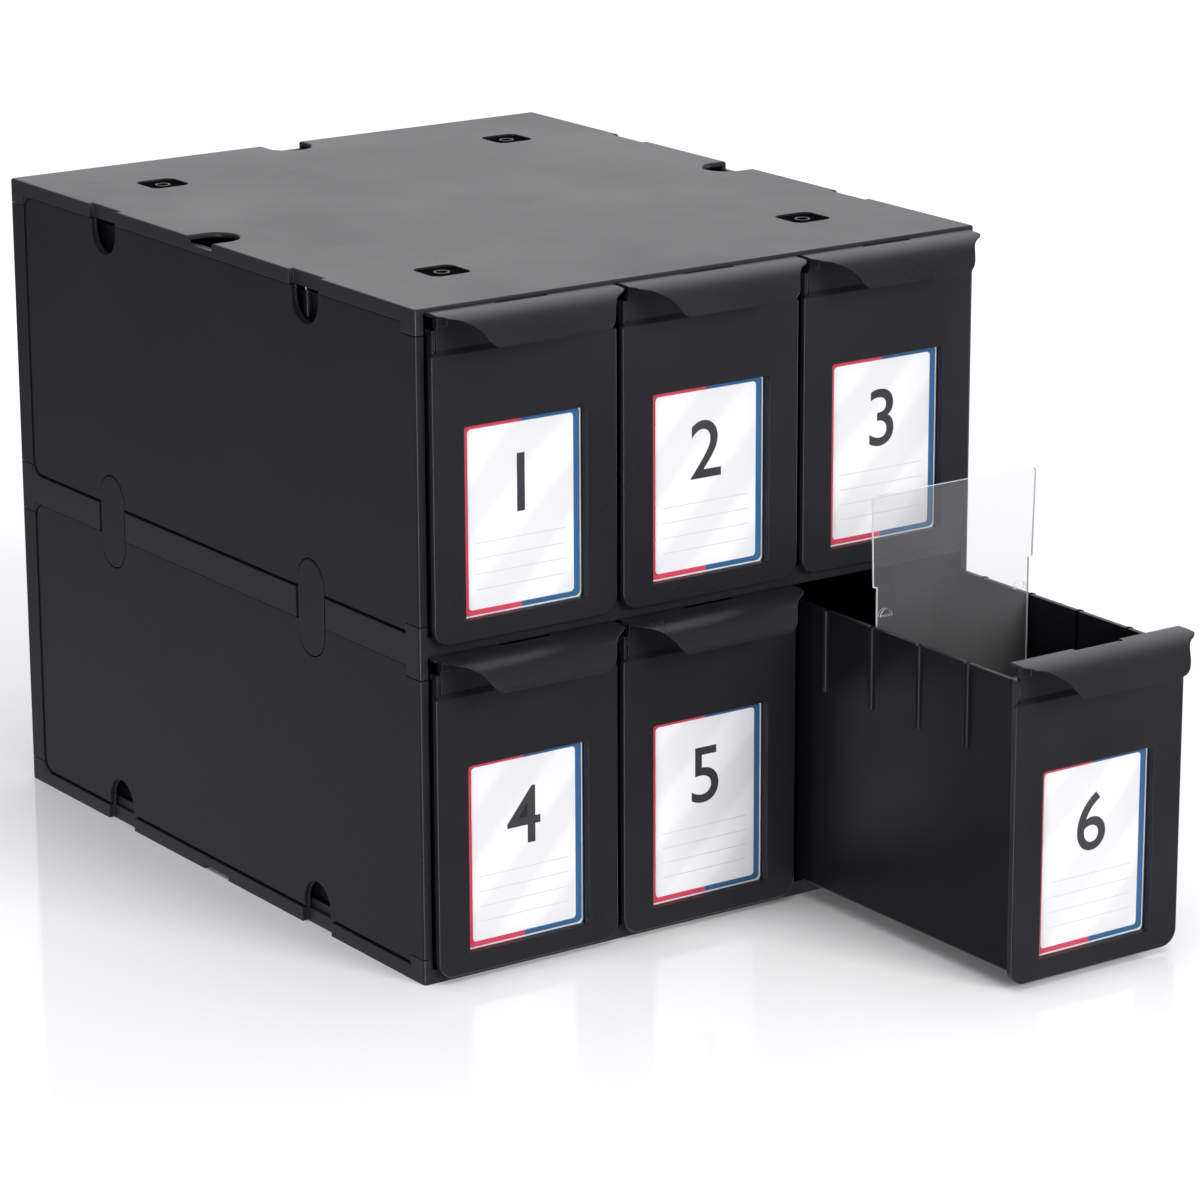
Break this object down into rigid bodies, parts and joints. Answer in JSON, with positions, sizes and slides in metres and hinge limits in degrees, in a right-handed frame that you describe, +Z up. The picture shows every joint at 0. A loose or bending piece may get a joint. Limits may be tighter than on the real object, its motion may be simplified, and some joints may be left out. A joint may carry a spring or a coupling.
{
  "type": "trading card drawer box",
  "caption": "Black plastic cabinet for trading cards with two storeys of label-window drawers on runners, one drawer open with its divider raised.",
  "frame": {"origin": "centre of the flat underside of the cabinet, drawers left out", "axes": "+Z up, +Y to the back of the cabinet (drawers open towards -Y), +X to the right as seen from the front"},
  "size_m": [0.3066, 0.5441, 0.3065],
  "materials": {
    "top_black": "satin injection-moulded",
    "panel_black": "fine moulded texture",
    "side_black": "fine moulded texture",
    "clip_black": "satin injection-moulded",
    "tray_black": "satin injection-moulded",
    "front_black": "satin to gloss on the handle",
    "clear": "clear",
    "divider_clear": "translucent",
    "card": "printed white card"
  },
  "bodies": {
    "cabinet": {"bottom_panel": "panel_black", "middle_shelf": "panel_black", "top_panel": "top_black", "upper_left_side": "side_black", "lower_left_side": "side_black", "upper_right_side": "side_black", "lower_right_side": "side_black", "upper_back": "side_black", "lower_back": "side_black", "left_front_clip": "clip_black", "left_rear_clip": "clip_black", "right_front_clip": "clip_black", "right_rear_clip": "clip_black"},
    "upper_left_drawer": {"upper_left_tray": "tray_black", "upper_left_front": "front_black", "upper_left_window": "clear", "upper_left_label": "card", "upper_left_divider": "divider_clear"},
    "upper_middle_drawer": {"upper_middle_tray": "tray_black", "upper_middle_front": "front_black", "upper_middle_window": "clear", "upper_middle_label": "card", "upper_middle_divider": "divider_clear"},
    "upper_right_drawer": {"upper_right_tray": "tray_black", "upper_right_front": "front_black", "upper_right_window": "clear", "upper_right_label": "card", "upper_right_divider": "divider_clear"},
    "lower_left_drawer": {"lower_left_tray": "tray_black", "lower_left_front": "front_black", "lower_left_window": "clear", "lower_left_label": "card", "lower_left_divider": "divider_clear"},
    "lower_middle_drawer": {"lower_middle_tray": "tray_black", "lower_middle_front": "front_black", "lower_middle_window": "clear", "lower_middle_label": "card", "lower_middle_divider": "divider_clear"},
    "lower_right_drawer": {"lower_right_tray": "tray_black", "lower_right_front": "front_black", "lower_right_window": "clear", "lower_right_label": "card"},
    "lower_right_divider": {"lower_right_divider": "divider_clear"}
  },
  "joints": [
    {"name": "upper_left_slide", "type": "slide", "parent": "cabinet", "child": "upper_left_drawer", "axis": [0, -1, 0], "range_m": [0, 0.28]},
    {"name": "upper_middle_slide", "type": "slide", "parent": "cabinet", "child": "upper_middle_drawer", "axis": [0, -1, 0], "range_m": [0, 0.28]},
    {"name": "upper_right_slide", "type": "slide", "parent": "cabinet", "child": "upper_right_drawer", "axis": [0, -1, 0], "range_m": [0, 0.048]},
    {"name": "lower_left_slide", "type": "slide", "parent": "cabinet", "child": "lower_left_drawer", "axis": [0, -1, 0], "range_m": [0, 0.28]},
    {"name": "lower_middle_slide", "type": "slide", "parent": "cabinet", "child": "lower_middle_drawer", "axis": [0, -1, 0], "range_m": [0, 0.28]},
    {"name": "lower_right_slide", "type": "slide", "parent": "cabinet", "child": "lower_right_drawer", "axis": [0, -1, 0], "range_m": [-0.048, 0.1268]},
    {"name": "lower_right_divider_lift", "type": "slide", "parent": "lower_right_drawer", "child": "lower_right_divider", "axis": [0, 0, 1], "range_m": [-0.0544, 0.075]}
  ]
}
